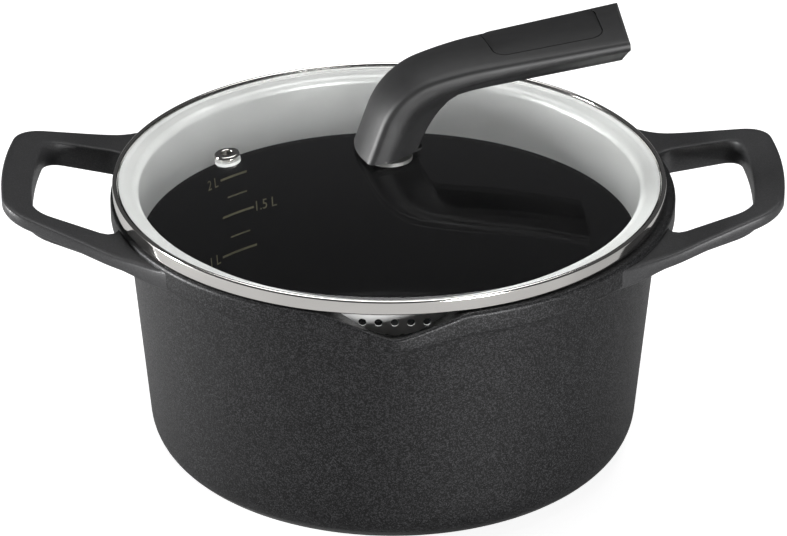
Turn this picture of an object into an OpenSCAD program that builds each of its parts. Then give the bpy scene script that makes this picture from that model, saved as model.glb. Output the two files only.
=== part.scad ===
/* [Pot] */
// Height of the pot from its base to the top of the rim
pot_h = 107; // [95:0.5:120]
// Outer radius that the wall would have at the base plane
foot_r = 95.3; // [90:0.1:100]
// Draft of the wall, outwards from the vertical, in degrees
draft = 5; // [3:0.5:6]
// Thickness of the cast wall
wall_t = 3.1; // [2.8:0.1:3.1]
// Thickness of the cast floor
floor_t = 5; // [4:0.5:6]
// Radius of the rounded edge between the base and the wall
foot_round = 16; // [12:1:20]
// Outer radius of the thick band round the rim
rim_r = 110; // [109:0.5:112]
// Height of the rim band
rim_h = 8.4; // [7:0.2:10]
// Radius of the stainless disc let into the base
disc_r = 72; // [55:1:76]
// Thickness of the stainless disc
disc_t = 1.2; // [0.8:0.1:2]

/* [Pouring spout] */
// Width of the spout's mouth at the level of the rim
spout_w = 46; // [36:1:50]
// Depth of the notch below the rim
spout_drop = 6.2; // [4:0.2:7]
// How far the lip stands out past the rim band
spout_reach = 5; // [3:0.5:7]

/* [Side handles] */
// Distance from the pot's axis to the outer end of a handle
handle_reach = 151.6; // [148:0.2:156]
// Half width of a handle where its sides would cross the edge of the lid
handle_half_w = 56.4; // [54:0.2:58]
// How fast a handle's sides draw together, as a slope
handle_taper = 0.41; // [0.36:0.01:0.45]
// Radius of the outer corners
handle_corner_r = 18; // [14:0.5:20]
// Radius of the hollow that blends a handle into the rim
root_blend_r = 138; // [110:1:145]
// Half width of the finger opening, measured as for the handle
finger_half_w = 38.6; // [36:0.2:39.6]
// How fast the sides of the finger opening draw together, as a slope
finger_taper = 0.2; // [0.15:0.01:0.25]
// Distance from the pot's axis to the outer end of the finger opening
finger_reach = 139.8; // [136:0.2:141]
// Thickness of a handle at its outer edge
handle_t = 5.2; // [4:0.2:7]
// Extra thickness of the lip round the finger opening
finger_lip_t = 5; // [2:0.2:6]
// Slope of the outer part of a handle, in degrees
handle_rise = 15; // [8:1:20]

/* [Lid] */
// Outer radius of the steel rim of the lid
lid_r = 107.6; // [107:0.2:109]
// Thickness of the steel sheet
sheet_t = 0.6; // [0.5:0.1:0.8]
// Thickness of the tempered glass
glass_t = 3.5; // [3:0.1:4]
// Radius of the glass disc
glass_r = 105.6; // [105.2:0.1:105.7]
// Spherical radius of the glass
dome_r = 511; // [460:1:600]
// Outer radius of the strainer skirt
skirt_r = 97.6; // [97:0.1:97.6]
// Depth of the skirt below the rim of the pot
skirt_drop = 22.5; // [18:0.5:28]
// Diameter of one strainer hole
hole_d = 3; // [2.5:0.1:4]
// Distance between strainer holes in a row
hole_pitch = 6; // [5:0.1:8]
// Distance between rows of strainer holes
row_pitch = 6.1; // [5:0.1:7]
// Distance of the vent from the centre of the lid
vent_offset = 63.2; // [40:0.2:80]
// How far the loose lid sits off the pot's axis, to the right
lid_off_x = -1.4; // [-1.4:0.1:1.4]
// How far the loose lid sits off the pot's axis, to the back
lid_off_y = -0.8; // [-0.8:0.1:0.8]

/* [Lid grip] */
// Direction in which the grip points, in degrees from the right-hand handle
grip_heading = 14; // [0:1:45]
// Width of the grip's arm at its end
grip_w = 36; // [30:0.5:38]
// Width of the grip's foot
grip_foot_w = 26.5; // [24:0.5:30]
// Slope of the grip's leg, in degrees
leg_slope = 70; // [65:1:75]
// Slope of the grip's arm, in degrees
arm_slope = 5.6; // [2:0.2:8]
// Radius of the tight part of the bend, along the ridges
bend_r = 29; // [26:1:34]
// Radius of the slack part of the bend
slack_r = 150; // [100:5:170]
// How far the arm reaches from the centre of the lid
grip_reach = 90.5; // [85:0.5:98]
// Height of the crown across the arm
crown_h = 2.2; // [1:0.2:4]
// Length of the inlay plate
inlay_l = 42; // [30:1:46]
// Width of the inlay plate
inlay_w = 25; // [18:0.5:26]

/* [Hidden] */
$fn = 128;

CAST = [0.17, 0.17, 0.18];
CAST_TOP = [0.26, 0.26, 0.27];
STEEL = [0.80, 0.80, 0.79];
GLASS = [0.80, 0.87, 0.85, 0.35];
PLASTIC = [0.07, 0.07, 0.07];
RUBBER = [0.04, 0.04, 0.04];
BRASS = [0.72, 0.58, 0.30];

EPS = 0.01;

// ---- pot -----------------------------------------------------------------
band_z = pot_h - rim_h;
rim_edge_r = 1.5;
inner_round = foot_round - wall_t;
shoulder_r = 14;
cavity_foot_r = foot_r - wall_t / cos(draft);

// ---- handles -------------------------------------------------------------
// the handle leaves the pot a little below the rim and sweeps up
handle_root_z = pot_h - 2.4;
sweep_r = 47;
sweep_start_x = 100;
side_x = 100;
finger_corner_r = 9.5;
finger_lip_w = 3.4;
handle_bow_r = 195;
finger_bow_r = 208;
rise_far_x = 170;

// ---- lid -----------------------------------------------------------------
lid_clear = 0.4;
seat_z = pot_h + lid_clear;
flange_z = seat_z + sheet_t;
ring_leg_r = 104;
ring_lip_r = 105;
bead_r = 0.9;
bead_x = lid_r - bead_r;
glass_edge_z = flange_z + sheet_t;
dome_top_z = glass_edge_z + glass_t + under_sagitta(glass_r) + 0.02;
bead_z = dome_top_z - sagitta(bead_x) + 0.2;
lip_z = dome_top_z - sagitta(ring_lip_r);
skirt_low_z = pot_h - skirt_drop;
skirt_bend_r = 2.8;
first_row_z = pot_h - 7.8;
rows = 3;
holes_in_row = 9;
vent_angle = 176;
hole_heading = 270.8;
vent_bore_r = 3.4;
vent_tilt = asin(vent_offset / dome_r);

// ---- grip ----------------------------------------------------------------
foot_z = dome_top_z + 0.9;
// where the ridges leave the foot
ridge_foot = [-10.6, foot_z];
leg_l = 15.4;
bend_turn = 54.7;
// the underside of the leg and that of the arm would meet here
keel_corner = [22.1, foot_z + 25.8];
keel_r = 14;
keel_slope_leg = 64.4;
keel_slope_arm = 4.6;
bend_start = ridge_foot + leg_l * heading(leg_slope);
bend_centre = bend_start + bend_r * heading(leg_slope - 90);
slack_start = bend_centre + bend_r * heading(leg_slope - bend_turn + 90);
slack_centre = slack_start + slack_r * heading(leg_slope - bend_turn - 90);
arm_start = slack_centre + slack_r * heading(arm_slope + 90);
crown_r = (pow(grip_w / 2, 2) + crown_h * crown_h) / (2 * crown_h);
crown_centre = [crown_h - crown_r, 0];
flank_r = 40;
flank_centre = [-35.4, grip_w / 2 + 23.7];
section_depth = 28;
grip_end_r = 100;
grip_end_skew = 10;
grip_tip_r = 5;
inlay_t = 1.2;
inlay_gap = 0.2;
inlay_start = 0.5;
inlay_side = 1.2;
inlay_corner_r = 5;
insert_r = 3.6;
insert_h = 12;
screw_r = 2.45;
bore_r = 2.5;
grommet_r = 4.5;
washer_r = 9;
washer_t = 1.4;
screw_head_r = 5;
screw_head_h = 2.6;
glass_under_z = dome_top_z - glass_t;
washer_top_z = glass_under_z - under_sagitta(washer_r);

// ---- helpers -------------------------------------------------------------
// Outer radius of the wall at height z
function wall_r(z) = foot_r + z * tan(draft);
// Radius of the cavity at height z
function cavity_r(z) = cavity_foot_r + z * tan(draft);
// How far the outside of the glass has fallen at radius r
function sagitta(r) = dome_r - sqrt(dome_r * dome_r - r * r);
// How far the underside of the glass has fallen at radius r
function under_sagitta(r) = dome_r - glass_t - sqrt(pow(dome_r - glass_t, 2) - r * r);
// The unit vector at angle a
function heading(a) = [cos(a), sin(a)];
function unit(v) = v / norm(v);
// Half of the angle inside corner q, between its neighbours p and s
function half_angle(p, q, s) = acos(unit(p - q) * unit(s - q)) / 2;
// Where an arc of radius r, which rounds corner q, leaves the side towards p
function arc_end(p, q, s, r) = q + unit(p - q) * r / tan(half_angle(p, q, s));
function arc_centre(p, q, s, r) = q + unit(unit(p - q) + unit(s - q)) * r / sin(half_angle(p, q, s));

// A convex polygon with each corner rounded to its own radius, 0 for a sharp one
module rounded(corners, radii) {
    n = len(corners);
    polygon([for (i = [0 : n - 1])
        let (p = corners[(i + n - 1) % n], q = corners[i], s = corners[(i + 1) % n], r = radii[i])
        each (r > 0 ? [arc_end(p, q, s, r), arc_end(s, q, p, r)] : [q])]);
    for (i = [0 : n - 1])
        if (radii[i] > 0)
            translate(arc_centre(corners[(i + n - 1) % n], corners[i], corners[(i + 1) % n], radii[i]))
                circle(radii[i]);
}

// ---- pot parts -------------------------------------------------------------
// Half section of the pot's outside, filled to the axis
module outside_profile() {
    centre_r = wall_r(foot_round) - foot_round / cos(draft);
    polygon([[0, 0],
             [centre_r, 0],
             [centre_r + foot_round * cos(draft), foot_round * (1 - sin(draft))],
             [wall_r(pot_h), pot_h],
             [0, pot_h]]);
    translate([centre_r, foot_round]) circle(foot_round);
    rounded([[wall_r(band_z) - 2, band_z], [rim_r, band_z], [rim_r, pot_h], [wall_r(band_z) - 2, pot_h]],
            [0, rim_edge_r, rim_edge_r, 0]);
}

// Half section of the cavity, filled to the axis
module cavity_profile() {
    corner_z = floor_t + inner_round;
    centre_r = cavity_r(corner_z) - inner_round / cos(draft);
    polygon([[0, floor_t],
             [centre_r, floor_t],
             [centre_r + inner_round * cos(draft), corner_z - inner_round * sin(draft)],
             [cavity_r(pot_h + 1), pot_h + 1],
             [0, pot_h + 1]]);
    translate([centre_r, corner_z]) circle(inner_round);
}

// The lip that carries the pour clear of the wall, as a pointed block
module spout_lip() {
    half = spout_w / 2 + 4;
    root_y = -sqrt(rim_r * rim_r - half * half);
    translate([0, 0, band_z])
        linear_extrude(rim_h)
            rounded([[half, root_y], [half, root_y + 12], [-half, root_y + 12], [-half, root_y],
                     [0, -rim_r - spout_reach - 1]],
                    [0, 0, 0, 0, 7]);
}

// The notch that the liquid runs through, cut from the front
module spout_notch() {
    half = spout_w / 2;
    slope = atan(spout_drop / half);
    bottom = [0, pot_h - spout_drop - 0.4];
    shoulder_x = half + shoulder_r * tan(slope / 2);
    translate([0, -wall_r(band_z) + 8, 0])
        rotate([90, 0, 0])
            linear_extrude(rim_r)
                difference() {
                    union() {
                        rounded([[-half - 0.4 / tan(slope), pot_h], bottom, [half + 0.4 / tan(slope), pot_h]],
                                [0, 9, 0]);
                        translate([-shoulder_x, pot_h - 1]) square([2 * shoulder_x, 4]);
                    }
                    for (side = [1, -1])
                        translate([side * shoulder_x, pot_h - shoulder_r]) circle(shoulder_r);
                }
}

module pot_body() {
    color(CAST) difference() {
        union() {
            rotate_extrude() intersection() {
                outside_profile();
                square([rim_r + 1, pot_h]);
            }
            spout_lip();
        }
        rotate_extrude() intersection() {
            cavity_profile();
            square([rim_r + 1, pot_h + 1]);
        }
        spout_notch();
        translate([0, 0, -EPS]) cylinder(r = disc_r, h = disc_t + EPS);
    }
}

module induction_disc() {
    color(STEEL) cylinder(r = disc_r, h = disc_t);
}

// A bow-ended plan: straight sides that draw together, and an end struck from the pot's axis line
module bowed_plan(half_w, taper, reach, end_r, corner_r, from_x) {
    side = atan(taper);
    normal = heading(90 - side);
    bow = [reach - end_r, 0];
    // distance of the sides from the pot's axis
    off = half_w * cos(side) + side_x * sin(side);
    rest = normal * (off - corner_r) - bow;
    ahead = rest * heading(-side);
    run = -ahead + sqrt(ahead * ahead - rest * rest + pow(end_r - corner_r, 2));
    corner = normal * (off - corner_r) + run * heading(-side);
    on_side = corner + corner_r * normal;
    fan = unit(corner - bow) * (end_r + 20);
    from_y = half_w + taper * (side_x - from_x);
    intersection() {
        translate(bow) circle(end_r, $fn = 360);
        polygon([bow, bow + [fan.x, -fan.y], bow + fan]);
    }
    polygon([[from_x, -from_y], [on_side.x, -on_side.y], [corner.x, -corner.y], corner, on_side,
             [from_x, from_y]]);
    for (way = [1, -1])
        translate([corner.x, way * corner.y]) circle(corner_r);
}

// Plan of the right-hand handle, without its finger opening
module handle_plan() {
    bowed_plan(handle_half_w, handle_taper, handle_reach, handle_bow_r, handle_corner_r, 60);
    root_blend();
    mirror([0, 1]) root_blend();
}

// The hollow sweep from the handle's side into the rim
module root_blend() {
    // the sweep runs a little way into the band, so that it meets the rim at an angle
    hub_r = rim_r - 1.2;
    side = atan(handle_taper);
    // distance of the handle's side from the pot's axis
    off = handle_half_w * cos(side) + side_x * sin(side);
    centre_angle = 90 - side - acos((off + root_blend_r) / (hub_r + root_blend_r));
    centre = (hub_r + root_blend_r) * heading(centre_angle);
    difference() {
        polygon([[60, 0], hub_r * unit(centre), centre - root_blend_r * heading(90 - side)]);
        translate(centre) circle(root_blend_r, $fn = 360);
    }
}

// Plan of the finger opening, grown by the given width on all sides
module finger_plan(grow) {
    wide = grow / cos(atan(finger_taper));
    bowed_plan(finger_half_w + wide, finger_taper, finger_reach + grow, finger_bow_r + grow,
               finger_corner_r + grow, 90);
}

// Everything below the handle's top line, in the plane of X and Z
module below_sweep() {
    line_x = sweep_start_x + sweep_r * tan(handle_rise / 2);
    far_z = handle_root_z + (rise_far_x - line_x) * tan(handle_rise);
    on_line = [sweep_start_x + sweep_r * sin(handle_rise),
               handle_root_z + sweep_r * (1 - cos(handle_rise))];
    polygon([[60, 0], [60, handle_root_z], [line_x, handle_root_z], [rise_far_x, far_z], [rise_far_x, 0]]);
    difference() {
        polygon([[sweep_start_x, handle_root_z], [line_x, handle_root_z - 1], on_line]);
        translate([sweep_start_x, handle_root_z + sweep_r]) circle(sweep_r, $fn = 360);
    }
}

// A sheet of thickness t under the handle's top line
module handle_sheet(t) {
    translate([0, 80, 0])
        rotate([90, 0, 0])
            linear_extrude(160)
                difference() {
                    below_sweep();
                    translate([0, -t]) below_sweep();
                }
}

module handle() {
    difference() {
        union() {
            intersection() {
                linear_extrude(pot_h + 30) handle_plan();
                handle_sheet(handle_t);
            }
            intersection() {
                linear_extrude(pot_h + 30) finger_plan(finger_lip_w);
                handle_sheet(handle_t + finger_lip_t);
            }
        }
        linear_extrude(pot_h + 40) finger_plan(0);
        cylinder(r = rim_r, h = pot_h + 40);
    }
}

module right_handle() {
    color(CAST_TOP) handle();
}

module left_handle() {
    color(CAST_TOP) mirror([1, 0, 0]) handle();
}

// ---- lid parts -------------------------------------------------------------
// Everything inside a ball whose top is the outside of the glass, less t
module dome_ball(t) {
    translate([0, dome_top_z - dome_r]) circle(dome_r - t, $fn = 720);
}

// Moves its children to the lid's own axis
module in_lid() {
    translate([lid_off_x, lid_off_y, 0]) children();
}

// Moves its children to the vent, square to the glass
module at_vent() {
    rotate([0, 0, vent_angle])
        translate([vent_offset, 0, dome_top_z - sagitta(vent_offset)])
            rotate([0, vent_tilt, 0])
                children();
}

module glass_dome() {
    color(GLASS) in_lid() difference() {
        rotate_extrude() intersection() {
            difference() {
                dome_ball(0);
                dome_ball(glass_t);
            }
            translate([0, seat_z]) square([glass_r, dome_top_z]);
        }
        translate([0, 0, glass_under_z - 1]) cylinder(r = grommet_r, h = glass_t + 2);
        at_vent() translate([0, 0, -glass_t - 1]) cylinder(r = vent_bore_r, h = glass_t + 2);
    }
}

module rim_ring() {
    band_r = lid_r - 0.1;
    color(STEEL) in_lid() rotate_extrude() {
        // leg under the strainer's flange
        translate([ring_leg_r, seat_z]) square([band_r - ring_leg_r, sheet_t]);
        // upright band
        translate([band_r - sheet_t, seat_z]) square([sheet_t, bead_z - seat_z]);
        // rolled bead, twelve-sided, which stands a little proud of the band
        translate([bead_x, bead_z]) rotate(15) circle(bead_r, $fn = 12);
        // lip that lies on the glass
        translate([ring_lip_r, lip_z]) square([bead_x - ring_lip_r, sheet_t]);
    }
}

module strainer_skirt() {
    inner_r = skirt_r - sheet_t;
    bend = [inner_r + skirt_bend_r, glass_edge_z - skirt_bend_r];
    color(STEEL) in_lid() difference() {
        rotate_extrude() {
            // upright wall
            translate([inner_r, skirt_low_z]) square([sheet_t, bend.y - skirt_low_z]);
            // bend into the flange
            intersection() {
                difference() {
                    translate(bend) circle(skirt_bend_r);
                    translate(bend) circle(skirt_bend_r - sheet_t);
                }
                translate([inner_r, bend.y]) square(skirt_bend_r);
            }
            // flange between the ring and the glass
            translate([bend.x, flange_z]) square([lid_r - sheet_t - bend.x - 0.2, sheet_t]);
        }
        strainer_holes();
    }
}

// Staggered rows of holes over the front of the skirt
module strainer_holes() {
    step = 2 * asin(hole_pitch / 2 / skirt_r);
    for (row = [0 : rows - 1], i = [0 : holes_in_row - 1 - row % 2])
        rotate([0, 0, hole_heading + (i - (holes_in_row - 1 - row % 2) / 2) * step])
            translate([skirt_r - 2, 0, first_row_z - row * row_pitch])
                rotate([0, 90, 0])
                    cylinder(d = hole_d, h = 4, $fn = 32);
}

module vent_eyelet() {
    tube_r = vent_bore_r - 0.2;
    bore = 2.3;
    flange_r = 5.2;
    flange_t = 1.1;
    color(STEEL) in_lid() at_vent() translate([0, 0, 0.06]) rotate_extrude()
        difference() {
            union() {
                rounded([[bore, 0], [flange_r, 0], [flange_r - 0.4, flange_t], [bore, flange_t + 0.3]],
                        [0, 0.2, 0.6, 0.5]);
                translate([bore, -glass_t - 1.6]) square([tube_r - bore, glass_t + 1.8]);
                translate([bore, -glass_t - 2]) square([tube_r - bore + 0.8, 0.5]);
            }
            translate([0, -10]) square([bore, 20]);
        }
}

module vent_washer() {
    color(STEEL) in_lid() at_vent() translate([0, 0, -glass_t - 1.35])
        difference() {
            cylinder(r = 5, h = 1.2);
            translate([0, 0, -1]) cylinder(r = vent_bore_r - 0.15, h = 4);
        }
}

// ---- grip parts ------------------------------------------------------------
// Turns its children to the grip's heading, on the lid's axis
module on_lid() {
    in_lid() rotate([0, 0, grip_heading]) children();
}

// What rounds a corner off: the wedge between two directions, outside a circle
module corner_cut(centre, r, dir_a, dir_b) {
    difference() {
        polygon([centre, centre + 3 * r * dir_a, centre + 3 * r * (dir_a + dir_b), centre + 3 * r * dir_b]);
        translate(centre) circle(r);
    }
}

// Cross-section: X is the height over the ridges, Y runs across
module grip_section() {
    half = grip_w / 2;
    difference() {
        intersection() {
            translate(crown_centre) circle(crown_r, $fn = 180);
            translate([-section_depth, -half]) square([section_depth + crown_h, grip_w]);
        }
        for (way = [0, 1])
            mirror([0, way]) {
                translate(flank_centre) circle(flank_r, $fn = 180);
                // chamfer along the ridge
                polygon([[2, half - 3], [-1.4, half], [-1.4, half + 3], [2, half + 3]]);
            }
    }
}

// The section a hair smaller, so that one length of the bar can sit inside the next
module nested_section(step) {
    middle = [-section_depth / 2, 0];
    translate(middle) scale(1 - step / 400) translate(-middle) grip_section();
}

// A straight length of the bar, from a point of the ridge line at the given slope
module bar_length(start, slope, l, step) {
    translate([start.x, 0, start.y])
        rotate([0, -slope, 0])
            rotate([90, 0, 90])
                linear_extrude(l) rotate(90) nested_section(step);
}

// A bent length of the bar, from the given slope back by turn degrees
module bar_bend(centre, r, slope, turn, step) {
    translate([centre.x, 0, centre.y])
        rotate([90, 0, 0])
            rotate([0, 0, 90 + slope])
                rotate_extrude(angle = turn, $fn = 120)
                    translate([r, 0]) nested_section(step);
}

// The whole bar before it is trimmed: leg, tight bend, slack bend and arm
module grip_bar() {
    mid_slope = leg_slope - bend_turn;
    lap = 0.4;
    bar_length(ridge_foot - 15 * heading(leg_slope), leg_slope, leg_l + 15 + lap, 2);
    bar_bend(bend_centre, bend_r, mid_slope - 0.8, bend_turn + 0.8, 1);
    bar_bend(slack_centre, slack_r, arm_slope, mid_slope - arm_slope, 0);
    bar_length(arm_start - lap * heading(arm_slope), arm_slope, 90, 1);
}

// Side view of the grip, in the plane of X and Z
module grip_side() {
    far = 130;
    difference() {
        translate([-40, foot_z]) square([far + 40, 80]);
        rounded([[keel_corner.x - 40 / tan(keel_slope_leg), keel_corner.y - 40],
                 keel_corner,
                 [far, keel_corner.y + (far - keel_corner.x) * tan(keel_slope_arm)],
                 [far, keel_corner.y - 40]],
                [0, keel_r, 0, 0]);
    }
}

// Plan of the grip: it widens from the foot to the end, which is cut aslant and slightly hollow
module grip_plan() {
    foot = grip_foot_w / 2;
    arm = grip_w / 2 - 1.7;
    end = grip_w / 2 + 0.2;
    difference() {
        polygon([[-30, -foot], [-4, -foot], [36, -arm], [grip_reach + 9, -end],
                 [grip_reach + 9, end], [36, arm], [-4, foot], [-30, foot]]);
        translate([grip_reach + grip_end_r, -grip_w / 2]) circle(grip_end_r, $fn = 360);
    }
}

// What is cut away to round the lower edge of the end
module tip_round() {
    end_z = keel_corner.y + (grip_reach - keel_corner.x) * tan(keel_slope_arm);
    reach = grip_tip_r - 0.4;
    translate([grip_reach, -grip_w / 2, end_z])
        rotate([0, 0, -grip_end_skew])
            translate([0, 60, 0])
                rotate([90, 0, 0])
                    linear_extrude(80)
                        corner_cut([-reach, reach], grip_tip_r, [0, -1], [1, 0]);
}

// Frame of the arm's top, at the start of the inlay plate
module on_arm_top() {
    translate([arm_start.x, 0, arm_start.y])
        rotate([0, -arm_slope, 0])
            translate([inlay_start, inlay_side, 0])
                children();
}

// The crowned skin of the arm's top over a rounded rectangle grown by gap
module crown_patch(gap, depth) {
    half = inlay_w / 2 + gap;
    on_arm_top() intersection() {
        translate([-gap - 1, 0, 0]) rotate([90, 0, 90]) linear_extrude(inlay_l + 2 * gap + 2)
            translate([0, crown_h - crown_r]) difference() {
                circle(crown_r + 0.001, $fn = 360);
                circle(crown_r - depth, $fn = 360);
            }
        linear_extrude(10)
            rounded([[-gap, -half], [inlay_l + gap, -half], [inlay_l + gap, half], [-gap, half]],
                    [for (i = [0 : 3]) inlay_corner_r + gap]);
    }
}

module lid_grip() {
    color(PLASTIC) on_lid() difference() {
        intersection() {
            grip_bar();
            translate([0, 50, 0]) rotate([90, 0, 0]) linear_extrude(100) grip_side();
            translate([0, 0, foot_z - 5]) linear_extrude(80) grip_plan();
        }
        tip_round();
        crown_patch(inlay_gap, inlay_t);
        translate([0, 0, foot_z - 1]) cylinder(r = insert_r, h = insert_h + 1.5);
    }
}

module grip_inlay() {
    color(PLASTIC) on_lid() crown_patch(0, inlay_t - 0.05);
}

// Plan of the grip's foot, a little smaller than the leg above it
module foot_plan() {
    half = grip_foot_w / 2 - 0.8;
    rounded([[-11.2, -half], [17.5, 0], [-11.2, half]], [2, 3, 2]);
}

module foot_gasket() {
    color(RUBBER) on_lid() translate([0, 0, dome_top_z])
        linear_extrude(foot_z - dome_top_z)
            difference() {
                foot_plan();
                circle(grommet_r);
            }
}

module glass_grommet() {
    color(RUBBER) in_lid() difference() {
        translate([0, 0, glass_under_z]) cylinder(r = grommet_r - 0.1, h = foot_z - glass_under_z);
        translate([0, 0, glass_under_z - 1]) cylinder(r = screw_r + 0.15, h = 10);
    }
}

module threaded_insert() {
    color(BRASS) in_lid() translate([0, 0, foot_z]) difference() {
        cylinder(r = insert_r + 0.04, h = insert_h);
        translate([0, 0, -1]) cylinder(r = bore_r, h = insert_h + 2);
    }
}

module screw_washer() {
    color(STEEL) in_lid() translate([0, 0, washer_top_z - washer_t]) difference() {
        cylinder(r = washer_r, h = washer_t);
        translate([0, 0, -1]) cylinder(r = screw_r + 0.25, h = washer_t + 2);
    }
}

module grip_screw() {
    head_z = washer_top_z - washer_t - screw_head_h;
    color(STEEL) in_lid() difference() {
        union() {
            translate([0, 0, head_z]) cylinder(r = screw_head_r, h = screw_head_h);
            translate([0, 0, head_z + 1]) cylinder(r = screw_r, h = foot_z + insert_h - 1 - head_z - 1);
        }
        // cross slots
        for (turn = [0, 90])
            rotate([0, 0, turn]) translate([-2.6, -0.5, head_z - 1]) cube([5.2, 1, 2.6]);
    }
}

pot_body();
left_handle();
right_handle();
induction_disc();
glass_dome();
rim_ring();
strainer_skirt();
vent_eyelet();
vent_washer();
lid_grip();
grip_inlay();
foot_gasket();
glass_grommet();
threaded_insert();
screw_washer();
grip_screw();
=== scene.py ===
# %% [markdown]
# # A cast saucepan with a glass strainer lid
# The solids of the pot and its lid come from the CAD model and are loaded as a fixed frame.
# Around that frame each cell below adds one thing: a finer piece, a finish, a lamp or the camera.
# Sizes are in metres, the pot stands on the plane z = 0 and its axis is the Z axis.

# %% Load the frame
import bpy
import bmesh
import math
from mathutils import Matrix, Vector


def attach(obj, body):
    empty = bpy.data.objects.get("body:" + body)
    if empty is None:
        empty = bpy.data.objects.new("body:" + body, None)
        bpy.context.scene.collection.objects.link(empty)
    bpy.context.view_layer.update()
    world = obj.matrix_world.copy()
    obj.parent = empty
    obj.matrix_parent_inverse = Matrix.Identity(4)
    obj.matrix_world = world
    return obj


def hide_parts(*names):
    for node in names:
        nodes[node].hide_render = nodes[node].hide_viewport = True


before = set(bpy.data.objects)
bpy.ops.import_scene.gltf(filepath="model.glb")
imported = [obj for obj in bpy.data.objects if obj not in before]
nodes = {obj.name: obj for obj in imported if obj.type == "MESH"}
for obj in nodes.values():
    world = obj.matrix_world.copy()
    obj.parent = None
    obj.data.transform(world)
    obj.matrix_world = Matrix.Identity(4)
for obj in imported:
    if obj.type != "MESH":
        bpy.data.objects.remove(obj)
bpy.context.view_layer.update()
MM = 0.001

# %% [markdown]
# ## Camera
# A long lens from a metre and a half away keeps the ellipses of the rim and the lid close to true.
# The camera looks down at 27 degrees, so that the inside can be read through the glass.
# It is aimed with a track quaternion, which turns a direction into a rotation without any guessing.

# %% Camera
camera_data = bpy.data.cameras.new("studio_camera")
camera_data.sensor_width = 36
camera_data.lens = 180.085
camera = bpy.data.objects.new("studio_camera", camera_data)
bpy.context.scene.collection.objects.link(camera)
camera.location = Vector((-9.936, -1381.095, 775.311)) * MM
aim = Vector((0.00656, 0.89103, -0.45391))
camera.rotation_euler = aim.to_track_quat("-Z", "Y").to_euler()
bpy.context.scene.camera = camera
print("camera is", round(camera.location.length, 3), "m from the pot's base")

# %% [markdown]
# ## Helpers for materials
# Every finish here is a Principled shader fed by small procedural textures on Object coordinates.
# The helpers keep the cells short: one makes the material, the others add a noise, a colour ramp,
# a remap or a bump, so that a reader can see what each finish is made of.

# %% Material helpers
def new_material(name):
    material = bpy.data.materials.new(name)
    material.use_nodes = True
    tree = material.node_tree
    shader = tree.nodes["Principled BSDF"]
    coords = tree.nodes.new("ShaderNodeTexCoord").outputs["Object"]
    return material, tree, shader, coords


def noise(tree, coords, scale, detail=2.0, stretch=(1, 1, 1)):
    mapping = tree.nodes.new("ShaderNodeMapping")
    mapping.inputs["Scale"].default_value = stretch
    tree.links.new(coords, mapping.inputs["Vector"])
    texture = tree.nodes.new("ShaderNodeTexNoise")
    texture.inputs["Scale"].default_value = scale
    texture.inputs["Detail"].default_value = detail
    tree.links.new(mapping.outputs["Vector"], texture.inputs["Vector"])
    return texture.outputs["Fac"]


def flecks(tree, coords, scale):
    texture = tree.nodes.new("ShaderNodeTexVoronoi")
    texture.inputs["Scale"].default_value = scale
    tree.links.new(coords, texture.inputs["Vector"])
    return texture


def ramp(tree, value, stops):
    node = tree.nodes.new("ShaderNodeValToRGB")
    elements = node.color_ramp.elements
    while len(elements) < len(stops):
        elements.new(0.5)
    for element, (place, colour) in zip(elements, stops):
        element.position = place
        element.color = (*colour, 1)
    tree.links.new(value, node.inputs["Fac"])
    return node.outputs["Color"]


def remap(tree, value, low, high):
    """Spreads a value between 0 and 1 over the range from low to high."""
    node = tree.nodes.new("ShaderNodeMapRange")
    node.inputs["To Min"].default_value = low
    node.inputs["To Max"].default_value = high
    tree.links.new(value, node.inputs["Value"])
    return node.outputs["Result"]


def mix_colour(tree, factor, first, second):
    node = tree.nodes.new("ShaderNodeMix")
    node.data_type = "RGBA"
    tree.links.new(factor, node.inputs["Factor"])
    for socket, colour in ((node.inputs["A"], first), (node.inputs["B"], second)):
        if isinstance(colour, tuple):
            socket.default_value = (*colour, 1)
        else:
            tree.links.new(colour, socket)
    return node.outputs["Result"]


def add_bump(tree, shader, height, strength, depth):
    node = tree.nodes.new("ShaderNodeBump")
    node.inputs["Strength"].default_value = strength
    node.inputs["Distance"].default_value = depth
    tree.links.new(height, node.inputs["Height"])
    tree.links.new(node.outputs["Normal"], shader.inputs["Normal"])

# %% [markdown]
# ## Cast coating
# The outside of the pot is cast aluminium under a charcoal coat with a fine metallic grain.
# Two layers give the grain: tiny Voronoi cells that are each a little lighter or darker, and a
# finer noise that breaks up the gloss. A slow noise keeps the large surface from looking printed.
# The handles have the same coat, rubbed smoother by the mould, so they get a calmer version. Its base
# tone is lighter than the pot's coat: that lighter tone is painted light, standing in for the light that
# falls on the handles' tops from above.

# %% Cast coating
def coated_cast(name, dark, light, grain, rough, metal, bump):
    material, tree, shader, coords = new_material(name)
    cells = flecks(tree, coords, grain)
    cell_value = tree.nodes.new("ShaderNodeSeparateColor")
    tree.links.new(cells.outputs["Color"], cell_value.inputs["Color"])
    speck = ramp(tree, cell_value.outputs["Red"], [(0.0, dark), (0.5, dark), (1.0, light)])
    cloud = noise(tree, coords, 60, 3)
    colour = mix_colour(tree, remap(tree, cloud, 0.0, 0.3), speck, dark)
    tree.links.new(colour, shader.inputs["Base Color"])
    gloss = remap(tree, cell_value.outputs["Green"], rough - 0.08, rough + 0.08)
    tree.links.new(gloss, shader.inputs["Roughness"])
    add_bump(tree, shader, noise(tree, coords, grain * 0.8, 2), bump, 0.0001)
    shader.inputs["Metallic"].default_value = metal
    shader.inputs["Specular IOR Level"].default_value = 0.4
    return material


cast_coat = coated_cast("cast_coat", (0.006, 0.006, 0.0063), (0.055, 0.055, 0.058), 2800, 0.46, 0.4, 0.6)
# The handles' copy of the coat has a lighter base tone than the pot's: painted light for the light
# falling on their tops from above.
handle_coat_painted_light = coated_cast("handle_coat_painted_light", (0.034, 0.034, 0.035), (0.06, 0.06, 0.062), 3600, 0.45, 0.2, 0.3)
print("cast coats ready")

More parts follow.
